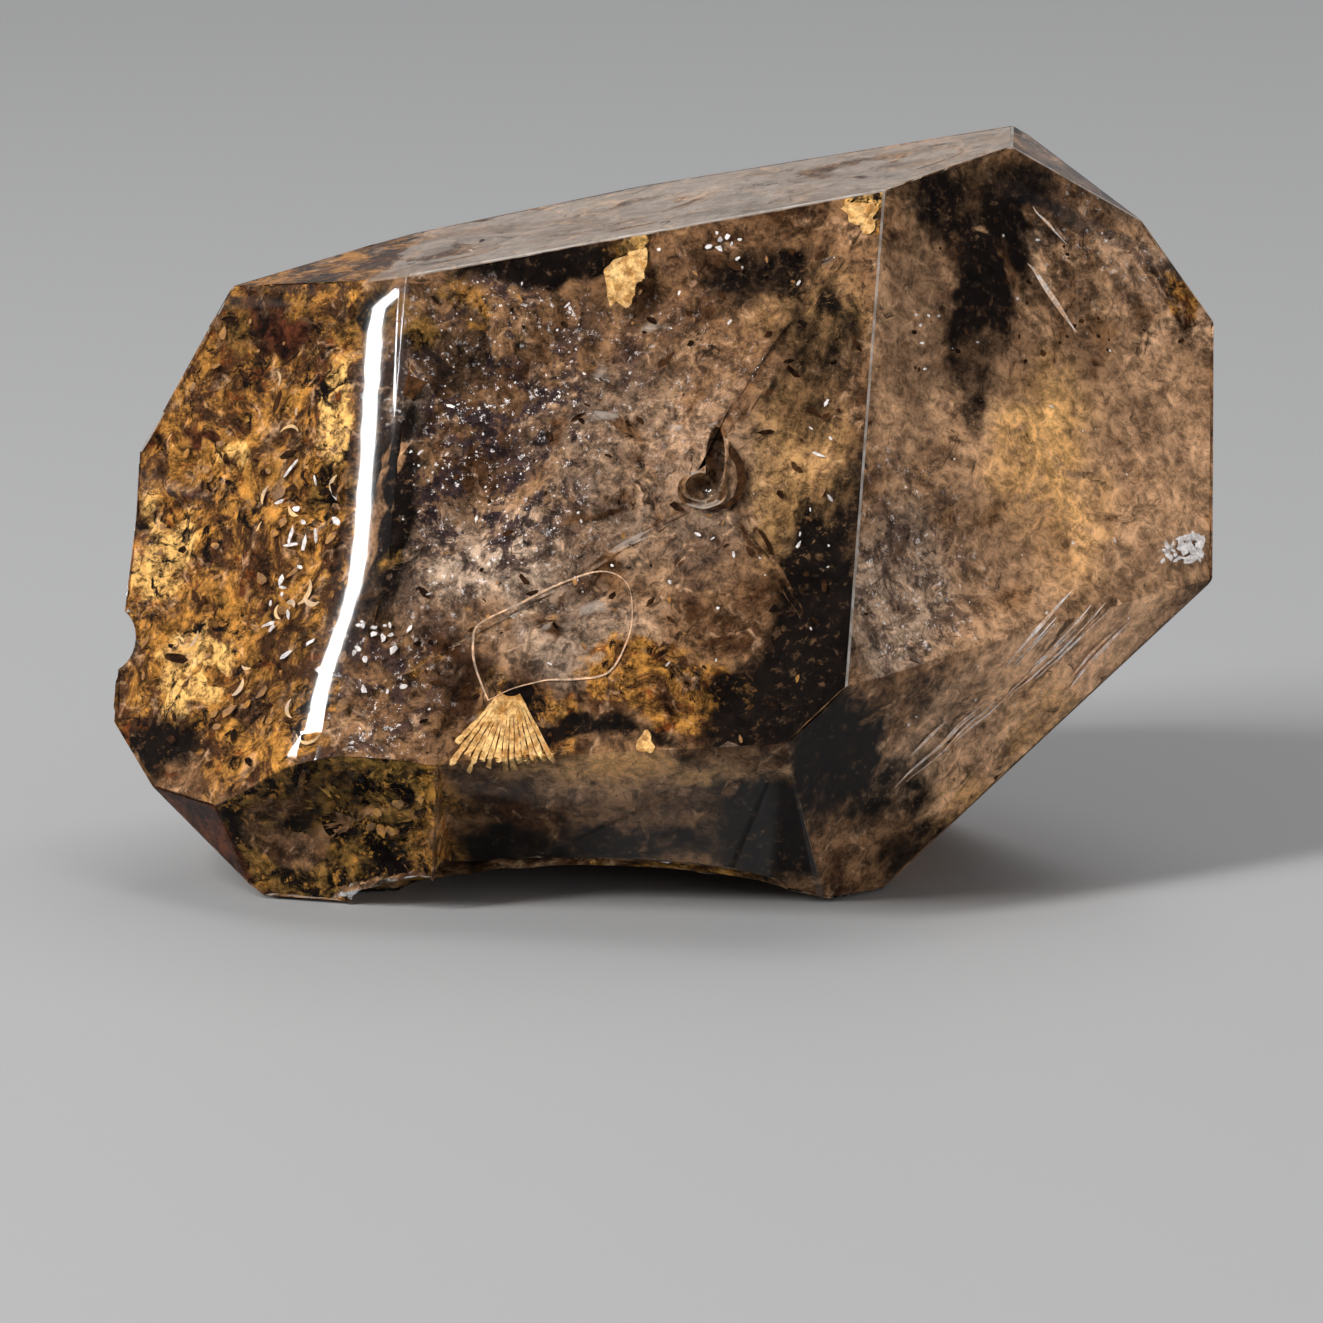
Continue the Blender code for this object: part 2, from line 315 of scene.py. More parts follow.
# The body's materials, in their order in the mesh.
CLEAR, BROKEN, WORN_LIT, ROLLED, STAINED = range(5)

# The skin's parts. A face is broken when it looks this far to the root, or is small (square
# millimetres) and doesn't look the polished face's way. A broken face that looks down is stained.
BROKEN_FACING = -0.56
CHIP_FACE = 6.0
CHIP_TURNED = 0.9
STAINED_BELOW = -0.30

# A worn edge, pale partly from wear and partly from a painted highlight, is a strip whose width lies
# between these, that is longer than this, both in millimetres, and that looks upwards at least this much.
STRIP_LEAST = 0.18
STRIP_MOST = 0.32
STRIP_LENGTH = 7.0
STRIP_RISE = 0.12

# The roll between the front face and the polished root face is turned further than this from
# each, and strays no more than the slack from the way that leads from one to the other.
ROLL_FRONT = math.radians(2.5)
ROLL_LEFT = math.radians(7.0)
ROLL_SLACK = math.radians(6.0)

# Ripples of the broken faces: edge length and depth in millimetres, and a ridged noise, with its
# scale, its highest value, and its roughness, spacing, octaves, offset and gain.
BREAK_EDGE = 1.2
BREAK_DEPTH = 0.25
BREAK_SCALE = 0.22
BREAK_MOST = 2.0
BREAK_NOISE = (0.9, 2.1, 5, 1.0, 2.0)

# How many times faces are split at most to make their edges short.
SPLIT_ROUNDS = 6

# The cloud under the skin, in millimetres: edge length, least depth, further depth, and how far
# from a sharp edge and from the floor it reaches that. Then the scale of the noise that its depth
# follows, its roughness, spacing and octaves, and how often it is pushed back under the skin.
CLOUD_EDGE = 1.6
CLOUD_SKIN = 0.22
CLOUD_LUMP = 1.9
CLOUD_FADE = 5.0
CLOUD_SCALE = 0.14
CLOUD_NOISE = (0.9, 2.1, 4)
CLOUD_ROUNDS = 3

# Angles in degrees: over which an edge is sharp in the skin and in the cloud, and under which two
# faces are one.
SHARP_ANGLE = 18.0
EDGE_ANGLE = 14.0
FLAT_ANGLE = 0.3

# The shortest sharp edge that the cloud keeps close to, and the step along it, in millimetres.
EDGE_LEAST = 0.4
EDGE_STEP = 0.8

# Thickness of every flake and film, and the thinnest end of a ribbon, in millimetres.
PLATE = 0.06
THINNEST = 0.04

# How far on the way from the skin, 0, to the cloud, 1, things are laid: paths, golden plates, the
# film's rim, crescents, the painted shade around the chip and flakes. The way is no longer than the deepest,
# in millimetres.
LAID = 0.7
PLATE_SHARE = 0.5
VEIL_SHARE = 0.55
CRESCENT_SHARE = 0.6
CHIP_SHARE = 0.3
FLAKE_SHARE = (0.45, 0.95)
DEEPEST = 1.2
CLEARANCE = 2.0 * PLATE

# Scattered flakes: how many, X and Z from and to, radius from and to, tilt in degrees, and how many
# times longer than wide at most.
STAIN_FLAKES = (
    (60, (-41.0, -22.0, 12.0, 42.0), (0.15, 0.5), 20.0, 2.5),
    (16, (-24.0, -15.0, 3.0, 12.0), (0.2, 0.6), 20.0, 2.5),
    (40, (-12.0, 14.0, 15.0, 50.0), (0.08, 0.28), 20.0, 3.0),
)
DARK_FLAKES = (
    (50, (-41.0, -21.0, 6.0, 44.0), (0.15, 0.5), 20.0, 3.5),
    (130, (-19.0, 18.0, 14.0, 50.0), (0.08, 0.35), 20.0, 3.5),
    (60, (20.0, 40.0, 40.0, 53.0), (0.08, 0.3), 20.0, 2.0),
)
# Glints: white flakes put where the light sparkles, painted glints.
GLINTS = (
    (24, (-30.0, -24.0, 18.0, 34.0), (0.12, 0.35), 25.0, 4.0),
    (18, (-22.0, -17.0, 17.0, 22.0), (0.12, 0.35), 25.0, 2.0),
    (60, (-18.0, 16.0, 15.0, 50.0), (0.06, 0.18), 25.0, 3.5),
    (90, (-19.0, -6.0, 27.0, 46.0), (0.05, 0.12), 25.0, 1.5),
    (8, (3.5, 6.5, 47.5, 50.5), (0.15, 0.28), 20.0, 1.5),
    (40, (39.2, 42.2, 24.6, 26.2), (0.15, 0.5), 12.0, 3.0),
    (40, (19.0, 40.0, 12.0, 50.0), (0.05, 0.16), 25.0, 2.0),
)
FLAKE_CORNERS = (5, 8)
FLAKE_UNEVEN = (0.6, 1.0)
FLAKE_TURN = (-0.3, 0.3)
FLAKE_BEND = 0.08
SEEDS = {"stain": 11, "dark": 12, "glints": 13, "streaks": 14, "crescents": 15, "gold": 16}

# Bundles of pale streaks under the tip: from X, Z to X, Z, spread to each side, and how many.
FEATHERS = (
    (26.0, 50.8, 33.3, 40.6, 0.25, 3),
    (27.8, 52.0, 31.3, 48.3, 0.2, 2),
    (27.5, 15.5, 35.5, 23.8, 1.6, 8),
    (19.5, 9.0, 28.0, 17.0, 1.8, 5),
    (31.0, 14.5, 37.0, 21.0, 1.0, 4),
)
FEATHER_POINTS = 13
FEATHER_START = (0.0, 0.45)
FEATHER_END = (0.55, 1.0)
FEATHER_BOW = (-0.03, 0.03)
FEATHER_WIDTH = (0.12, 0.42)
FEATHER_SPREAD = 1.15

# Crescent cracks at the root: how many, X, Z, radius, sweep and width, each from and to.
CRESCENTS = 18
CRESCENT_X = (-38.0, -24.5)
CRESCENT_Z = (14.0, 42.0)
CRESCENT_RADIUS = (0.5, 1.5)
CRESCENT_SWEEP = (1.0, 2.2)
CRESCENT_WIDTH = (0.15, 0.45)
CRESCENT_STEPS = 8
CRESCENT_TILT = 8.0

# The dark crescent around the small chip of the front face, a sheet of painted shade, and its width.
CHIP_CRESCENT = (
    (4.4, 35.7), (5.6, 35.5), (6.6, 34.9), (7.3, 34.0), (7.6, 32.8), (7.3, 31.7), (6.5, 31.0), (5.4, 30.8),
)
CHIP_SHADE_WIDTH = 0.7

# The rim of the rounded film, and its width in millimetres, which swells and thins along it.
VEIL_RIM = (
    (-12.1, 22.2), (-12.5, 21.0), (-12.2, 19.3), (-11.1, 17.2), (-10.7, 17.0),
    (-8.9, 17.8), (-6.6, 18.4), (-3.9, 18.6), (-1.6, 19.2), (-0.4, 21.5),
    (-0.3, 23.9), (-1.0, 25.6), (-3.0, 26.2), (-6.1, 25.2), (-9.1, 23.7),
)
VEIL_STEPS = 5
VEIL_WIDTH = 0.11
VEIL_SWELL = 0.06
VEIL_TURN = 0.21

# Golden plates: X, Z, half width, half height, and how much wider the top is than the middle.
GOLD_PLATES = (
    (-3.1, 47.4, 1.6, 3.0, 0.1),
    (-2.0, 48.0, 0.8, 1.8, -0.1),
    (15.4, 52.0, 1.3, 1.1, 0.5),
    (16.0, 51.2, 0.6, 0.7, 0.2),
    (1.6, 14.6, 0.6, 1.0, -0.75),
)
PLATE_CORNERS = 22
PLATE_SQUARENESS = 0.6
PLATE_UNEVEN_WIDTH = (0.70, 1.10)
PLATE_UNEVEN_HEIGHT = (0.80, 1.05)
PLATE_BEND = 0.02

# The golden fan: its top, how far from it the blades start and end, how many there are, the angles
# of the first and the last, and how their lengths and widths vary.
FAN_TOP = (-9.2, 18.4)
FAN_INNER = 1.2
FAN_LENGTH = 7.4
FAN_BLADES = 14
FAN_FROM = -40.0
FAN_TO = 34.0
FAN_POINTS = 15
FAN_UNEVEN_LENGTH = (0.8, 1.05)
FAN_UNEVEN_WIDTH = (0.55, 0.9)
FAN_NARROW = 0.2
FAN_WIDEN = 0.5


def tone(name):
    """A named colour as Blender's linear values."""
    linear = []
    for level in TONES[name]:
        share = level / 255.0
        linear.append(share / 12.92 if share <= 0.04045 else ((share + 0.055) / 1.055) ** 2.4)
    return (*linear, 1.0)


def add_object(name, data):
    """Puts a new object in the scene."""
    made = bpy.data.objects.new(name, data)
    bpy.context.scene.collection.objects.link(made)
    return made


# ---------------------------------------------------------------- studio


def make_camera():
    """The camera the crystal is seen with."""
    data = bpy.data.cameras.new("camera")
    data.lens = CAMERA_LENS
    data.sensor_width = SENSOR_WIDTH
    data.clip_start = CLIP_START
    camera = add_object("camera", data)
    camera.location = Vector(CAMERA_PLACE) * MM
    camera.rotation_euler = (math.radians(90.0 - CAMERA_DOWN), 0.0, math.radians(CAMERA_TURN))
    bpy.context.scene.camera = camera


def softbox(name, bearing, elevation, distance, width, height, power):
    """A rectangular lamp that faces the crystal from a bearing and an elevation in degrees."""
    data = bpy.data.lights.new(name, "AREA")
    data.shape = "RECTANGLE"
    data.size = width
    data.size_y = height
    data.energy = power
    lamp = add_object(name, data)
    turn = math.radians(bearing)
    rise = math.radians(elevation)
    towards = Vector((math.cos(turn) * math.cos(rise), math.sin(turn) * math.cos(rise), math.sin(rise)))
    lamp.location = Vector(LAMPS_AIM) + towards * distance
    lamp.rotation_euler = (-towards).to_track_quat("-Z", "Y").to_euler()


def make_studio():
    """The sky, the lamps and the grey floor."""
    bpy.context.scene.view_settings.view_transform = "Standard"
    world = bpy.data.worlds.new("studio")
    world.use_nodes = True
    sky = world.node_tree.nodes["Background"]
    sky.inputs["Color"].default_value = SKY_COLOUR
    sky.inputs["Strength"].default_value = SKY_STRENGTH
    bpy.context.scene.world = world
    for lamp in LAMPS:
        softbox(*lamp)
    grid = bmesh.new()
    bmesh.ops.create_grid(grid, x_segments=2, y_segments=2, size=FLOOR_HALF)
    data = bpy.data.meshes.new("floor")
    grid.to_mesh(data)
    grid.free()
    floor = add_object("floor", data)
    floor.location.z = -FLOOR_DROP
    paint = Paint("floor_grey")
    paint.set("Base Color", (FLOOR_GREY, FLOOR_GREY, FLOOR_GREY, 1.0))
    paint.set("Roughness", FLOOR_ROUGHNESS)
    data.materials.append(paint.material)


# ---------------------------------------------------------------- materials


class Paint:
    """One material's nodes, with a short call for each kind of node. Its lengths are millimetres."""

    def __init__(self, name):
        self.material = bpy.data.materials.new(name)
        self.material.use_nodes = True
        self.tree = self.material.node_tree
        self.surface = self.tree.nodes["Principled BSDF"]
        self.output = self.tree.nodes["Material Output"]

    def feed(self, socket, value):
        """Links an output to a socket, or sets a constant on it."""
        if isinstance(value, bpy.types.NodeSocket):
            self.tree.links.new(value, socket)
        else:
            socket.default_value = value

    def set(self, name, value):
        """Gives one of the surface's inputs its value."""
        self.feed(self.surface.inputs[name], value)

    def node(self, kind, modes=None, **inputs):
        """A new node with its modes and inputs."""
        made = self.tree.nodes.new(kind)
        for mode, value in (modes or {}).items():
            setattr(made, mode, value)
        for name, value in inputs.items():
            self.feed(made.inputs[name.replace("_", " ")], value)
        return made

    def math(self, operation, first, second=0.0):
        """One operation on two numbers, kept within 0 and 1 when it adds."""
        made = self.node("ShaderNodeMath", {"operation": operation, "use_clamp": operation == "ADD"})
        self.feed(made.inputs[0], first)
        self.feed(made.inputs[1], second)
        return made.outputs["Value"]

    def vector(self, operation, first, second=(0.0, 0.0, 0.0)):
        """The same for vectors, or a vector's length."""
        made = self.node("ShaderNodeVectorMath", {"operation": operation})
        self.feed(made.inputs[0], first)
        self.feed(made.inputs[1], second)
        return made.outputs["Value" if operation == "LENGTH" else "Vector"]

    def place(self):
        """The point being shaded, in millimetres."""
        spot = self.node("ShaderNodeTexCoord").outputs["Object"]
        return self.vector("DIVIDE", spot, (MM, MM, MM))

    def ramp(self, value, start, end, low=0.0, high=1.0):
        """From low at start to high at end, smoothly."""
        made = self.node("ShaderNodeMapRange", {"interpolation_type": "SMOOTHSTEP"}, Value=value)
        for name, number in (("From Min", start), ("From Max", end), ("To Min", low), ("To Max", high)):
            made.inputs[name].default_value = number
        return made.outputs["Result"]

    def step(self, value, name):
        """One of the named smooth steps."""
        return self.ramp(value, *STEPS[name])

    def noise(self, place, size, detail, rough, twist):
        """Clouds about `size` millimetres across."""
        return self.node("ShaderNodeTexNoise", Vector=place, Scale=1.0 / size, Detail=detail,
                         Roughness=rough, Distortion=twist)

    def cloud(self, place, name):
        """One of the named cloud textures, as a number."""
        return self.noise(place, *TEXTURES[name]).outputs["Fac"]

    def streaks(self, place, rise, size, length):
        """Clouds drawn out into streaks that climb at an angle, seen from the front."""
        turned = self.node("ShaderNodeVectorRotate", {"rotation_type": "Y_AXIS"}, Vector=place,
                           Angle=math.radians(rise)).outputs["Vector"]
        drawn_out = self.vector("MULTIPLY", turned, (1.0 / length, STREAK_DEPTH, 1.0))
        return self.noise(drawn_out, size, *STREAK_TEXTURE).outputs["Fac"]

    def mix(self, share, first, second, blend="MIX"):
        """The first colour at share 0, the second at share 1."""
        made = self.node("ShaderNodeMix", {"data_type": "RGBA", "blend_type": blend})
        self.feed(made.inputs[0], share)
        self.feed(made.inputs[6], first)
        self.feed(made.inputs[7], second)
        return made.outputs[2]

    def both(self, first, second):
        """High where both shares are high."""
        return self.math("MULTIPLY", first, second)

    def either(self, first, second):
        """High where one of two shares is high."""
        return self.math("MAXIMUM", first, second)

    def patch(self, place, middle, half):
        """1 inside a rounded patch, 0 outside it, with a soft edge."""
        away = self.vector("DIVIDE", self.vector("SUBTRACT", place, middle), half)
        return self.ramp(self.vector("LENGTH", away), 1.0 + SPOT_SOFTNESS, 1.0 - SPOT_SOFTNESS)

    def facing(self, way):
        """1 where the surface looks that way, 0 where it turns off it."""
        turn = self.node("ShaderNodeVectorMath", {"operation": "DOT_PRODUCT"})
        self.feed(turn.inputs[0], self.node("ShaderNodeNewGeometry").outputs["Normal"])
        self.feed(turn.inputs[1], way)
        return self.step(turn.outputs["Value"], "facing")

    def patches(self, place, spots):
        """The strongest of several patches, each only on the side it belongs to."""
        total = None
        for middle, half, facing, strength in spots:
            one = self.both(self.patch(place, middle, half), strength)
            one = self.both(one, self.facing(facing))
            total = one if total is None else self.either(total, one)
        return total

    def ragged(self, share, grain, reach=TORN[0], edge=TORN[1]):
        """Gives a soft patch a crisp, torn outline that follows a noise."""
        torn = self.both(self.math("SUBTRACT", grain, 0.5), reach * 2.0)
        level = self.node("ShaderNodeMath", {"operation": "ADD"})
        self.feed(level.inputs[0], share)
        self.feed(level.inputs[1], torn)
        inside = self.step(share, "inside")
        return self.both(self.ramp(level.outputs["Value"], 0.5 - edge, 0.5 + edge), inside)

    def grey(self, value):
        """A number as a colour without hue."""
        return self.node("ShaderNodeCombineXYZ", X=value, Y=value, Z=value).outputs["Vector"]

    def relief(self, height, strength, depth):
        """Small bumps that follow a texture."""
        bump = self.node("ShaderNodeBump", Strength=strength, Distance=depth, Height=height)
        self.set("Normal", bump.outputs["Normal"])

    def warp(self, place):
        """The place pushed about by a coarse noise, so that outlines made from it wander."""
        colours = self.noise(place, *TEXTURES["warp"]).outputs["Color"]
        push = self.vector("SUBTRACT", colours, (0.5, 0.5, 0.5))
        return self.vector("ADD", place, self.vector("MULTIPLY", push, (WARP_REACH, WARP_REACH, WARP_REACH)))


class Stone:
    """The crystal's own surface, for laying things just under it."""

    def __init__(self):
        self.mesh = bmesh.new()
        self.mesh.from_mesh(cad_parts[CRYSTAL].data)
        bmesh.ops.remove_doubles(self.mesh, verts=self.mesh.verts[:], dist=1e-6)
        self.tree = BVHTree.FromBMesh(self.mesh)

    def copy(self):
        """The shape again, with its flat faces in one piece each."""
        mesh = self.mesh.copy()
        corners, edges = mesh.verts[:], mesh.edges[:]
        bmesh.ops.dissolve_limit(mesh, angle_limit=math.radians(FLAT_ANGLE), verts=corners, edges=edges)
        mesh.normal_update()
        return mesh

    def skin(self, x, z):
        """Where the front of the stone is at X and Z, and the way it looks there, in millimetres."""
        spot, facing, _, _ = self.tree.ray_cast(Vector((x * MM, -1.0, z * MM)), Vector((0.0, 1.0, 0.0)))
        if spot is None:
            raise ValueError(f"no stone at X {x}, Z {z}")
        return spot / MM, facing

    def under(self, x, z, share):
        """A point between the front skin, at share 0, and the cloud, at share 1, and the skin's facing."""
        spot, facing = self.skin(x, z)
        _, _, _, away = self.cloud.ray_cast(spot * MM, -facing)
        return spot - facing * (share * min((away or 0.0) / MM, DEEPEST)), facing

    def depth(self, point):
        """How far inside the stone a point lies. It is negative outside."""
        spot, facing, _, away = self.tree.find_nearest(point * MM)
        return math.copysign(away / MM, facing.dot(spot - point * MM))


def spots_on(stone, spots):
    """Patches as middle, half sizes, facing and strength, each with its middle on the skin."""
    found = []
    for x, z, half_width, half_height, strength in spots:
        middle, facing = stone.skin(x, z)
        found.append((middle, (half_width, half_height * SPOT_DEPTH, half_height), facing, strength))
    return found


class Views:
    """What the parts of the cloud's colour share: the place, the textures and the patches."""

    def __init__(self, paint, stone):
        self.place = paint.place()
        self.bent = paint.warp(self.place)
        self.axes = paint.node("ShaderNodeSeparateXYZ", Vector=self.bent).outputs
        self.broad = paint.cloud(self.place, "broad")
        self.grain = paint.cloud(self.place, "grain")
        self.fine = paint.cloud(self.place, "fine")
        self.crumbs = paint.cloud(self.place, "crumbs")
        self.top = paint.facing(TOP_FACING)
        self.glow = paint.patches(self.bent, spots_on(stone, GLOW_SPOTS))


def haze_colour(paint, stone, views):
    """The brown haze of the whole stone, paler in places, warmer with painted light where light shines
    through the tip, smokier behind, and on top a painted grey sheen, the reflection of the grey around it.
    """
    colour = paint.mix(paint.step(views.broad, "bark"), tone("umber"), tone("bark"))
    # Painted light: warmer in the glowing patches, where light shines through the tip.
    warm = paint.both(views.glow, paint.step(views.broad, "warm"))
    colour = paint.mix(warm, colour, tone("glow"))
    haze = paint.patches(views.bent, spots_on(stone, HAZE_SPOTS))
    haze = paint.both(haze, paint.step(views.grain, "haze"))
    colour = paint.mix(haze, colour, tone("haze"))

    behind = paint.step(views.axes["Y"], "behind_y")
    drift = paint.step(paint.cloud(views.place, "drift"), "drift")
    colour = paint.mix(paint.both(behind, drift), colour, tone("glow"))
    smoky = paint.step(paint.streaks(views.place, *BACK_STREAKS), "smoky")
    colour = paint.mix(paint.both(behind, smoky), colour, tone("smoke_and_shade"))
    # Painted reflection: the top face is a streaky grey for the grey it mirrors.
    top_sheen = paint.step(paint.streaks(views.place, *TOP_STREAKS), "top_sheen")
    return paint.mix(paint.both(views.top, top_sheen), colour, tone("sheen_grey"))


def with_speckle(paint, stone, views, colour):
    """Plum-grey blots and frosty flecks."""
    speckle = paint.patches(views.bent, spots_on(stone, SPECKLE_SPOTS))
    colour = paint.mix(paint.both(speckle, paint.step(views.grain, "plum")), colour, tone("plum"))
    elsewhere = paint.vector("ADD", views.place, FLECKS_SHIFT)
    flecks = paint.step(paint.cloud(elsewhere, "flecks"), "flecks")
    return paint.mix(paint.both(speckle, flecks), colour, tone("frost_and_glint"))


def with_gold(paint, stone, views, colour):
    """The golden iron stain: all over the root, and in patches elsewhere."""
    stain = paint.step(paint.cloud(views.place, "stain"), "amber")
    stain = paint.mix(stain, tone("umber"), tone("amber"))
    stain = paint.mix(paint.step(paint.cloud(views.place, "rust"), "rust"), stain, tone("rust"))
    bright = paint.ragged(paint.patches(views.bent, spots_on(stone, BRIGHT_SPOTS)), views.grain)
    bright = paint.both(bright, paint.step(views.fine, "wheat"))
    bright = paint.either(bright, paint.step(paint.cloud(views.place, "bright"), "bright"))
    stain = paint.mix(bright, stain, tone("wheat"))
    stain = paint.mix(paint.step(paint.cloud(views.bent, "gaps"), "gaps"), stain, tone("smoke_and_shade"))

    soft = paint.patches(views.bent, spots_on(stone, SOFT_GOLD_SPOTS))
    colour = paint.mix(paint.both(soft, paint.step(views.grain, "honey")), colour, tone("honey"))
    root = paint.step(views.axes["X"], "root_x")
    root = paint.both(root, paint.step(views.axes["Z"], "root_z"))
    gold = paint.either(root, paint.patches(views.bent, spots_on(stone, GOLD_SPOTS)))
    return paint.mix(paint.ragged(gold, views.grain), colour, stain)


def with_streaks(paint, stone, views, colour):
    """Pale and dark streaks under the tip faces, and pale healed cracks everywhere."""
    for streaks, spots in ((RISING_STREAKS, RISING_SPOTS), (FALLING_STREAKS, FALLING_SPOTS)):
        drawn = paint.streaks(views.place, *streaks)
        where = paint.patches(views.bent, spots_on(stone, spots))
        colour = paint.mix(paint.both(paint.step(drawn, "pale_streak"), where), colour, tone("glow"))
        colour = paint.mix(paint.both(paint.step(drawn, "dark_streak"), where), colour, tone("umber"))
    ridged = {"noise_type": "RIDGED_MULTIFRACTAL"}
    lines = paint.node("ShaderNodeTexNoise", ridged, Vector=views.bent, **CRACKS)
    return paint.mix(paint.step(lines.outputs["Fac"], "crack"), colour, tone("glow"))


def with_smoke_and_shade(paint, stone, views, colour):
    """Small painted shadows everywhere, and near-black patches, partly the stone's smoke and partly painted
    shade where the facets show shadow and dark internal reflections, with crumbs of light in it.
    """
    shade = paint.cloud(paint.vector("MULTIPLY", views.bent, SHADE_STRETCH), "shade")
    colour = paint.mix(paint.step(shade, "shade"), colour, tone("smoke_and_shade"))
    wisps = paint.streaks(views.place, *WISPS)
    torn = paint.math("ADD", paint.both(views.grain, 0.5), paint.both(wisps, 0.5))
    dark = paint.ragged(paint.patches(views.bent, spots_on(stone, DARK_SPOTS)), torn, *TORN_SMOKE_AND_SHADE)
    dark = paint.both(dark, paint.step(views.crumbs, "crumbs"))
    return paint.mix(dark, colour, tone("smoke_and_shade"))


def with_chips(paint, views, colour):
    """The mottled chip at the root's foot, with its flaky golden rim, and the red facet beside it."""
    chipped = paint.mix(paint.step(views.grain, "olive"), tone("smoke_and_shade"), tone("olive"))
    rim = paint.step(views.axes["X"], "rim_x")
    flaky = paint.both(rim, paint.step(views.fine, "flaky"))
    flaky = paint.either(flaky, paint.step(views.crumbs, "flaky_crumbs"))
    chipped = paint.mix(flaky, chipped, tone("amber"))
    chip = paint.both(paint.facing(CHIP_WAY), paint.step(views.axes["X"], "chip_x"))
    colour = paint.mix(chip, colour, chipped)
    red = paint.both(paint.facing(RED_WAY), paint.step(views.axes["X"], "red_x"))
    brick = paint.mix(paint.step(views.grain, "brick"), tone("smoke_and_shade"), tone("brick"))
    return paint.mix(red, colour, brick)


def mottled(paint, views, colour):
    """Fine light and dark mottling, calmer in the glowing patches of painted light and under the painted
    sheen on top.
    """
    calm = paint.either(paint.both(views.glow, CALM_GLOW), paint.both(views.top, CALM_TOP))
    mottle = paint.grey(paint.step(views.fine, "mottle"))
    return paint.mix(1.0, colour, paint.mix(calm, mottle, WHITE), "MULTIPLY")


def cloud_paint(stone):
    """The hazy, stained and smoky inclusions that fill the stone."""
    paint = Paint("inclusion_cloud")
    views = Views(paint, stone)
    colour = haze_colour(paint, stone, views)
    colour = with_speckle(paint, stone, views, colour)
    colour = with_gold(paint, stone, views, colour)
    colour = with_streaks(paint, stone, views, colour)
    colour = with_smoke_and_shade(paint, stone, views, colour)
    colour = with_chips(paint, views, colour)
    paint.set("Base Color", mottled(paint, views, colour))
    paint.set("Roughness", CLOUD_ROUGHNESS)
    paint.set("Specular IOR Level", CLOUD_GLOSS)
    paint.relief(views.grain, *CLOUD_RELIEF)
    return paint.material


def clear(paint, tint, gloss):
    """What every clear surface has in common. Lamps reach what lies inside it."""
    paint.set("Base Color", tint)
    paint.set("IOR", QUARTZ_IOR)
    paint.set("Specular Tint", (gloss, gloss, gloss, 1.0))
    paint.set("Transmission Weight", 1.0)
    let_lamps_in(paint)


def skin_paint(name, gloss, rough):
    """Clear quartz, polished, with a faint smoky tint."""
    paint = Paint(name)
    clear(paint, CLEAR_TINT, gloss)
    paint.set("Roughness", rough)
    paint.relief(paint.cloud(paint.place(), "wave"), *SKIN_RELIEF)
    return paint.material


def fracture_paint():
    """The broken quartz of the root and the chips: rougher, with fine ripples."""
    paint = Paint("broken_quartz")
    place = paint.place()
    clear(paint, BROKEN_TINT, SKIN_GLOSS)
    paint.set("Roughness", paint.step(paint.cloud(place, "patchy"), "break_roughness"))
    paint.relief(paint.cloud(place, "ripple"), *BROKEN_RELIEF)
    return paint.material


def let_lamps_in(paint):
    """Lets light from the lamps straight through, so that it falls on what lies under the surface."""
    ray = paint.node("ShaderNodeLightPath").outputs["Is Shadow Ray"]
    through = paint.node("ShaderNodeBsdfTransparent", Color=LAMP_TINT).outputs["BSDF"]
    blend = paint.tree.nodes.new("ShaderNodeMixShader")
    paint.feed(blend.inputs[0], ray)
    paint.feed(blend.inputs[1], paint.surface.outputs["BSDF"])
    paint.feed(blend.inputs[2], through)
    paint.feed(paint.output.inputs["Surface"], blend.outputs[0])


def flake_paint(name, first, second, size, rough, gloss=FLAKE_GLOSS):
    """Flakes of two tones, mottled."""
    paint = Paint(name)
    place = paint.place()
    share = paint.step(paint.noise(place, size, *FLAKE_TEXTURE).outputs["Fac"], "two_tones")
    colour = paint.mix(share, tone(first), tone(second))
    fine = paint.step(paint.cloud(place, "dust"), "dust")
    paint.set("Base Color", paint.mix(1.0, colour, paint.grey(fine), "MULTIPLY"))
    paint.set("Roughness", rough)
    paint.set("Specular IOR Level", gloss)
    return paint.material


def edge_paint():
    """The worn, slightly frosted strip along a sharp upper edge, its pale mottling partly wear and partly a
    painted highlight.
    """
    paint = Paint("worn_edge_highlight")
    place = paint.place()
    worn = paint.step(paint.cloud(place, "worn"), "worn")
    paint.set("Base Color", paint.mix(worn, WORN_DARK, PALE_WEAR_AND_HIGHLIGHT))
    paint.set("Roughness", WORN_ROUGHNESS)
    paint.set("IOR", QUARTZ_IOR)
    paint.set("Transmission Weight", WORN_CLEARNESS)
    let_lamps_in(paint)
    return paint.material


# ---------------------------------------------------------------- the crystal


def add_piece(name, mesh, *paints):
    """Puts a finished mesh in the scene as one of the crystal's pieces, none of it below the floor."""
    for vertex in mesh.verts:
        vertex.co.z = max(vertex.co.z, 0.0)
    data = bpy.data.meshes.new(name)
    mesh.to_mesh(data)
    mesh.free()
    for paint in paints:
        data.materials.append(paint)
    piece = add_object(name, data)
    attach(piece, "root")
    return piece


def is_broken(face):
    """Whether a face belongs to the root's break or to a chip."""
    if face.normal.x < BROKEN_FACING:
        return True
    small = face.calc_area() < CHIP_FACE * MM * MM
    return small and face.normal.dot(Vector(LEFT_AIM)) < CHIP_TURNED


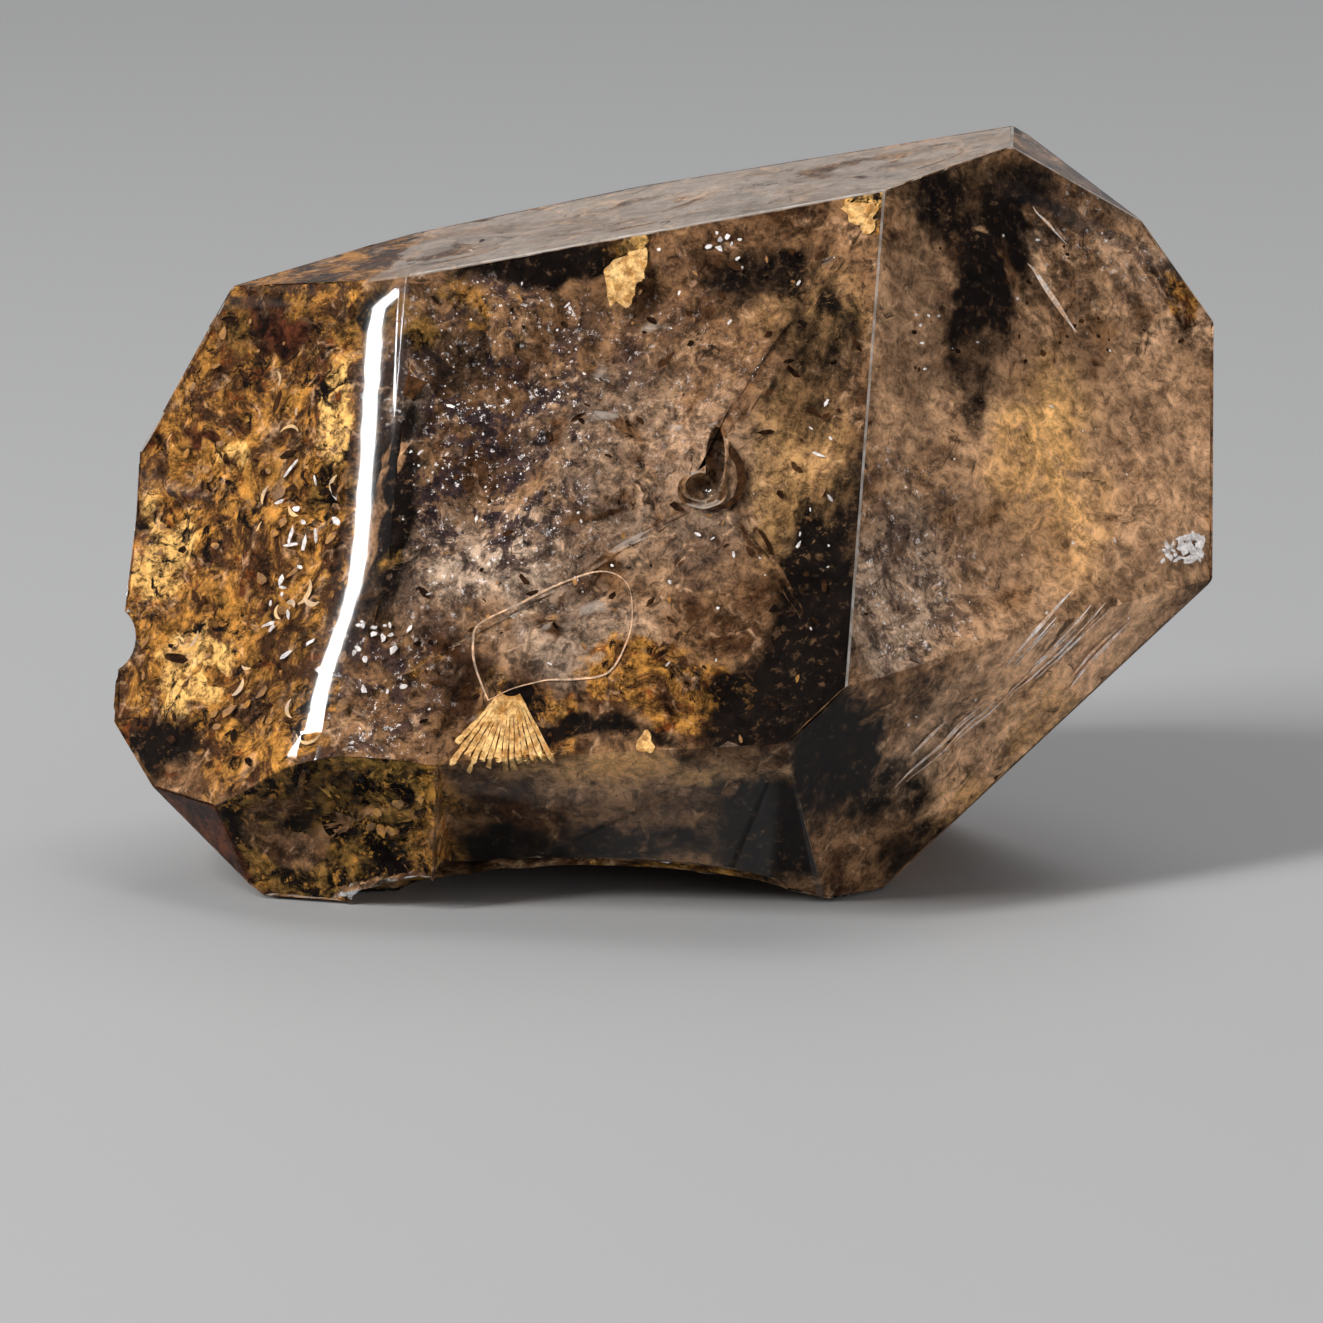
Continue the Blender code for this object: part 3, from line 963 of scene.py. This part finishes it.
def refine(mesh, faces_of, edge_length, rounds):
    """Splits the chosen faces until their edges are short."""
    for _ in range(rounds):
        edges = {edge for face in faces_of() for edge in face.edges if edge.calc_length() > edge_length * MM}
        if not edges:
            return
        bmesh.ops.subdivide_edges(mesh, edges=list(edges), cuts=1)
        bmesh.ops.triangulate(mesh, faces=[face for face in faces_of() if len(face.verts) > 3])


def is_worn_lit_edge(face):
    """Whether a face is the narrow strip along one of the upper edges."""
    longest = max(edge.calc_length() for edge in face.edges)
    width = face.calc_area() / longest / MM
    return STRIP_LEAST < width < STRIP_MOST and longest > STRIP_LENGTH * MM and face.normal.z > STRIP_RISE


def is_rolled_edge(face):
    """Whether a face belongs to the polished roll between the front face and the root."""
    from_front = face.normal.angle(Vector(FRONT_AIM))
    from_left = face.normal.angle(Vector(LEFT_AIM))
    spread = Vector(FRONT_AIM).angle(Vector(LEFT_AIM)) + ROLL_SLACK
    return from_front > ROLL_FRONT and from_left > ROLL_LEFT and from_front + from_left < spread


def look_of(face):
    """Which of the body's materials a face starts with."""
    if is_worn_lit_edge(face):
        return WORN_LIT
    if is_rolled_edge(face):
        return ROLLED
    return BROKEN if is_broken(face) else CLEAR


def broken_faces(mesh):
    """The faces that carry the broken look now."""
    return [face for face in mesh.faces if face.material_index == BROKEN]


def roughen_breaks(mesh):
    """Gives the broken faces small shell-like ripples, and leaves every polished face flat."""
    for face in mesh.faces:
        face.material_index = look_of(face)
    bmesh.ops.triangulate(mesh, faces=broken_faces(mesh))
    refine(mesh, lambda: broken_faces(mesh), BREAK_EDGE, SPLIT_ROUNDS)
    mesh.normal_update()
    moves = {}
    for vertex in mesh.verts:
        if all(face.material_index == BROKEN for face in vertex.link_faces):
            ripple = noise.ridged_multi_fractal(vertex.co / MM * BREAK_SCALE, *BREAK_NOISE)
            moves[vertex] = vertex.normal * min(ripple, BREAK_MOST) * BREAK_DEPTH * MM
    for vertex, move in moves.items():
        vertex.co -= move
    mesh.normal_update()
    for face in broken_faces(mesh):
        if face.normal.z < STAINED_BELOW:
            face.material_index = STAINED


def make_body(stone, stained):
    """The surface of the stone, in place of the CAD's."""
    mesh = stone.copy()
    roughen_breaks(mesh)
    clear_quartz = skin_paint("clear_quartz", SKIN_GLOSS, SKIN_ROUGHNESS)
    rolled_quartz = skin_paint("rolled_quartz", ROLL_GLOSS, ROLL_ROUGHNESS)
    paints = (clear_quartz, fracture_paint(), edge_paint(), rolled_quartz, stained)
    body = add_piece("crystal_body", mesh, *paints)
    body.data.shade_smooth()
    body.data.set_sharp_from_angle(angle=math.radians(SHARP_ANGLE))
    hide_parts(CRYSTAL)


def sharp_edge_tree(mesh):
    """The stone's sharp edges as points, to measure how far a place is from them."""
    points = []
    for edge in mesh.edges:
        if edge.calc_length() > EDGE_LEAST * MM and edge.calc_face_angle(0.0) > math.radians(EDGE_ANGLE):
            one, two = edge.verts[0].co, edge.verts[1].co
            steps = max(int(edge.calc_length() / (EDGE_STEP * MM)), 1)
            points += [one.lerp(two, i / steps) for i in range(steps + 1)]
    tree = KDTree(len(points))
    for i, point in enumerate(points):
        tree.insert(point, i)
    tree.balance()
    return tree


def make_cloud(stone, stained):
    """The cloud follows the skin: close under it at the edges, at a wandering depth between them."""
    mesh = stone.copy()
    edges = sharp_edge_tree(mesh)
    bmesh.ops.triangulate(mesh, faces=mesh.faces[:])
    refine(mesh, lambda: mesh.faces[:], CLOUD_EDGE, SPLIT_ROUNDS)
    mesh.normal_update()
    for vertex in mesh.verts:
        away = edges.find(vertex.co)[2] / MM
        lump = max(0.5 + noise.fractal(vertex.co / MM * CLOUD_SCALE, *CLOUD_NOISE), 0.0)
        low = min(vertex.co.z / MM / CLOUD_FADE, 1.0)
        depth = CLOUD_SKIN + CLOUD_LUMP * lump * low * min(away / CLOUD_FADE, 1.0)
        vertex.co -= vertex.normal * depth * MM
    for _ in range(CLOUD_ROUNDS):
        for vertex in mesh.verts:
            if stone.depth(vertex.co / MM) < CLOUD_SKIN:
                spot, facing, _, _ = stone.tree.find_nearest(vertex.co)
                vertex.co = spot - facing * CLOUD_SKIN * MM
    stone.cloud = BVHTree.FromBMesh(mesh)
    cloud = add_piece("inclusion_cloud", mesh, stained)
    cloud.data.shade_smooth()
    cloud.data.set_sharp_from_angle(angle=math.radians(EDGE_ANGLE))


def add_plate(mesh, middle, along, facing, outline, bend):
    """A thin closed plate: outline in millimetres along and across, bent about its long way."""
    across = facing.cross(along).normalized()
    along = across.cross(facing).normalized()
    layers = []
    for side in (0.5, -0.5):
        points = [(0.0, 0.0), *outline]
        places = [middle + along * u + across * v + facing * (side * PLATE - bend * v * v) for u, v in points]
        layers.append([mesh.verts.new(place * MM) for place in places])
    count = len(outline)
    top, bottom = layers
    for i in range(1, count + 1):
        j = i % count + 1
        mesh.faces.new((top[0], top[i], top[j]))
        mesh.faces.new((bottom[0], bottom[j], bottom[i]))
        mesh.faces.new((top[i], bottom[i], bottom[j], top[j]))


def add_ribbon(mesh, path, widths, facing):
    """A thin closed strip along a path, with a width at each point."""
    rings = []
    last = len(path) - 1
    for i, (place, width) in enumerate(zip(path, widths)):
        tangent = path[min(i + 1, last)] - path[max(i - 1, 0)]
        side = tangent.cross(facing).normalized() * width / 2
        rise = facing * PLATE / 2
        corners = (place + side + rise, place - side + rise, place - side - rise, place + side - rise)
        rings.append([mesh.verts.new(corner * MM) for corner in corners])
    for one, two in zip(rings, rings[1:]):
        for k in range(4):
            mesh.faces.new((one[k], one[(k + 1) % 4], two[(k + 1) % 4], two[k]))
    mesh.faces.new(rings[0][::-1])
    mesh.faces.new(rings[-1])


def shard(rng, radius, stretch):
    """An uneven outline of a few corners."""
    count = rng.randint(*FLAKE_CORNERS)
    turns = [(i + rng.uniform(*FLAKE_TURN)) * math.tau / count for i in range(count)]
    outline = []
    for turn in turns:
        u = radius * stretch * math.cos(turn) * rng.uniform(*FLAKE_UNEVEN)
        v = radius * math.sin(turn) * rng.uniform(*FLAKE_UNEVEN)
        outline.append((u, v))
    return outline


def tilted(rng, facing, tilt):
    """A facing turned by a random small amount, and a random way along it."""
    lean = Vector([rng.uniform(-1, 1) for _ in range(3)]) * math.tan(math.radians(tilt))
    turned = (facing + lean).normalized()
    along = turned.cross(Vector([rng.uniform(-1, 1) for _ in range(3)])).normalized()
    return along, turned


def scatter(stone, rng, mesh, count, region, radii, tilt, stretch):
    """Shards between the skin and the cloud in a region: X from and to, Z from and to."""
    x_from, x_to, z_from, z_to = region
    for _ in range(count):
        x, z = rng.uniform(x_from, x_to), rng.uniform(z_from, z_to)
        radius = rng.uniform(*radii)
        share = rng.uniform(*FLAKE_SHARE)
        outline = shard(rng, radius, rng.uniform(1.0, stretch))
        try:
            middle, facing = stone.under(x, z, share)
        except ValueError:
            continue
        along, turned = tilted(rng, facing, tilt)
        across = turned.cross(along)
        if min(stone.depth(middle + along * u + across * v) for u, v in outline) > CLEARANCE:
            add_plate(mesh, middle, along, turned, outline, FLAKE_BEND)


def trail(stone, x_from, z_from, x_to, z_to, count, bow=0.0):
    """A path under the skin from one X, Z to another, bowed sideways."""
    path = []
    for i in range(count):
        t = i / (count - 1)
        swell = bow * math.sin(math.pi * t)
        x = x_from + (x_to - x_from) * t - (z_to - z_from) * swell
        z = z_from + (z_to - z_from) * t + (x_to - x_from) * swell
        path.append(stone.under(x, z, LAID)[0])
    return path


def tapered(count, width):
    """Widths that swell to the middle of a ribbon and thin to its ends."""
    return [max(width * math.sin(math.pi * (i + 0.5) / count), THINNEST) for i in range(count)]


def scattered(stone, seed, rows):
    """A mesh of scattered flakes."""
    rng = random.Random(SEEDS[seed])
    mesh = bmesh.new()
    for row in rows:
        scatter(stone, rng, mesh, *row)
    return mesh


def make_root_flakes(stone):
    """Golden-brown flakes of iron stain."""
    mesh = scattered(stone, "stain", STAIN_FLAKES)
    add_piece("iron_stain_flakes", mesh, flake_paint("iron_stain", "bark", "amber", 0.9, 0.6))


def make_dark_flakes(stone):
    """Smoky flakes, and the dark crescent of painted shade around the chip."""
    mesh = scattered(stone, "dark", DARK_FLAKES)
    facing = stone.skin(*CHIP_CRESCENT[0])[1]
    path = [stone.under(x, z, CHIP_SHARE)[0] for x, z in CHIP_CRESCENT]
    add_ribbon(mesh, path, tapered(len(path), CHIP_SHADE_WIDTH), facing)
    add_piece("smoky_flakes", mesh, flake_paint("smoky_flake", "smoke_and_shade", "umber", 4.0, 0.6, DARK_FLAKE_GLOSS))


def make_glints(stone):
    """Small white flakes where the light sparkles: painted glints."""
    mesh = scattered(stone, "glints", GLINTS)
    add_piece("bright_glints", mesh, flake_paint("glint", "frost_and_glint", "frost_and_glint", 2.0, 0.15))


def make_streaks(stone):
    """Pale feathery cracks under the tip faces, in bundles that run one way."""
    rng = random.Random(SEEDS["streaks"])
    mesh = bmesh.new()
    for x_from, z_from, x_to, z_to, spread, count in FEATHERS:
        run = Vector((x_to - x_from, z_to - z_from))
        side = Vector((-run.y, run.x)).normalized()
        for _ in range(count):
            off = side * rng.uniform(-spread, spread)
            start, end = rng.uniform(*FEATHER_START), rng.uniform(*FEATHER_END)
            one = Vector((x_from, z_from)) + run * start + off
            two = Vector((x_from, z_from)) + run * end + off * FEATHER_SPREAD
            path = trail(stone, *one, *two, FEATHER_POINTS, rng.uniform(*FEATHER_BOW))
            facing = stone.skin(*((one + two) / 2))[1]
            add_ribbon(mesh, path, tapered(FEATHER_POINTS, rng.uniform(*FEATHER_WIDTH)), facing)
    add_piece("feather_streaks", mesh, flake_paint("pale_feather", "glow", "frost_and_glint", 1.5, 0.5))


def make_crescents(stone):
    """Pale curved cracks under the root's skin."""
    rng = random.Random(SEEDS["crescents"])
    mesh = bmesh.new()
    for _ in range(CRESCENTS):
        x = rng.uniform(*CRESCENT_X)
        z = rng.uniform(*CRESCENT_Z)
        radius = rng.uniform(*CRESCENT_RADIUS)
        start = rng.uniform(0.0, math.tau)
        sweep = rng.uniform(*CRESCENT_SWEEP)
        middle, facing = stone.under(x, z, CRESCENT_SHARE)
        along, turned = tilted(rng, facing, CRESCENT_TILT)
        across = turned.cross(along)
        turns = [start + sweep * i / CRESCENT_STEPS for i in range(CRESCENT_STEPS + 1)]
        path = [middle + (along * math.cos(t) + across * math.sin(t)) * radius for t in turns]
        if min(stone.depth(place) for place in path) > CLEARANCE:
            add_ribbon(mesh, path, tapered(len(path), rng.uniform(*CRESCENT_WIDTH)), turned)
    add_piece("crescent_cracks", mesh, flake_paint("pale_crack", "straw", "haze", 2.0, 0.5))


def smooth_loop(points, steps):
    """A closed curve through the points, with that many steps between two of them."""
    count = len(points)
    curve = []
    for i in range(count):
        a, b, c, d = (points[(i + k) % count] for k in (-1, 0, 1, 2))
        for step in range(steps):
            t = step / steps
            curve.append(0.5 * ((2 * b) + (c - a) * t + (2 * a - 5 * b + 4 * c - d) * t * t
                                + (3 * b - a - 3 * c + d) * t * t * t))
    return curve


def make_veil(stone):
    """The rim of the rounded pale film near the foot of the front face."""
    mesh = bmesh.new()
    loop = smooth_loop([Vector(point) for point in VEIL_RIM], VEIL_STEPS)
    path = [stone.under(x, z, VEIL_SHARE)[0] for x, z in loop + loop[:1]]
    facing = stone.skin(*VEIL_RIM[0])[1]
    widths = [VEIL_WIDTH + VEIL_SWELL * math.sin(i * VEIL_TURN) for i in range(len(path))]
    add_ribbon(mesh, path, widths, facing)
    add_piece("veil_rim", mesh, flake_paint("veil_rim", "haze", "glow", 1.0, 0.5))


def squarish(rng, half_width, half_height, narrowing):
    """An uneven outline between an oval and a rectangle."""
    outline = []
    for i in range(PLATE_CORNERS):
        turn = math.tau * i / PLATE_CORNERS
        level, rise = math.cos(turn), math.sin(turn)
        u = math.copysign(abs(level) ** PLATE_SQUARENESS, level) * rng.uniform(*PLATE_UNEVEN_WIDTH)
        v = math.copysign(abs(rise) ** PLATE_SQUARENESS, rise) * rng.uniform(*PLATE_UNEVEN_HEIGHT)
        outline.append((u * half_width * (1.0 + narrowing * v), v * half_height))
    return outline


def add_fan(stone, rng, mesh):
    """Blades that spread from the fan's top, wider towards their ends."""
    facing = stone.skin(*FAN_TOP)[1]
    for i in range(FAN_BLADES):
        turn = math.radians(FAN_FROM + (FAN_TO - FAN_FROM) * i / (FAN_BLADES - 1))
        length = FAN_LENGTH * rng.uniform(*FAN_UNEVEN_LENGTH)
        level, drop = math.sin(turn), math.cos(turn)
        start = (FAN_TOP[0] + level * FAN_INNER, FAN_TOP[1] - drop * FAN_INNER)
        end = (FAN_TOP[0] + level * length, FAN_TOP[1] - drop * length)
        path = trail(stone, *start, *end, FAN_POINTS)
        widening = [FAN_NARROW + FAN_WIDEN * (k / (FAN_POINTS - 1)) for k in range(FAN_POINTS)]
        add_ribbon(mesh, path, [rng.uniform(*FAN_UNEVEN_WIDTH) * width for width in widening], facing)


def make_gold_plates(stone):
    """The bright golden plates under the front face, and the fan at its foot."""
    rng = random.Random(SEEDS["gold"])
    mesh = bmesh.new()
    for x, z, half_width, half_height, narrowing in GOLD_PLATES:
        middle, facing = stone.under(x, z, PLATE_SHARE)
        outline = squarish(rng, half_width, half_height, narrowing)
        across = facing.cross(Vector((1.0, 0.0, 0.0))).normalized()
        add_plate(mesh, middle, across.cross(facing), facing, outline, PLATE_BEND)
    add_fan(stone, rng, mesh)
    add_piece("golden_plates", mesh, flake_paint("golden_plate", "amber", "straw", 0.8, 0.5))


make_camera()
make_studio()
stone = Stone()
stained = cloud_paint(stone)
make_body(stone, stained)
make_cloud(stone, stained)
make_root_flakes(stone)
make_dark_flakes(stone)
make_glints(stone)
make_streaks(stone)
make_crescents(stone)
make_veil(stone)
make_gold_plates(stone)
bpy.context.view_layer.update()
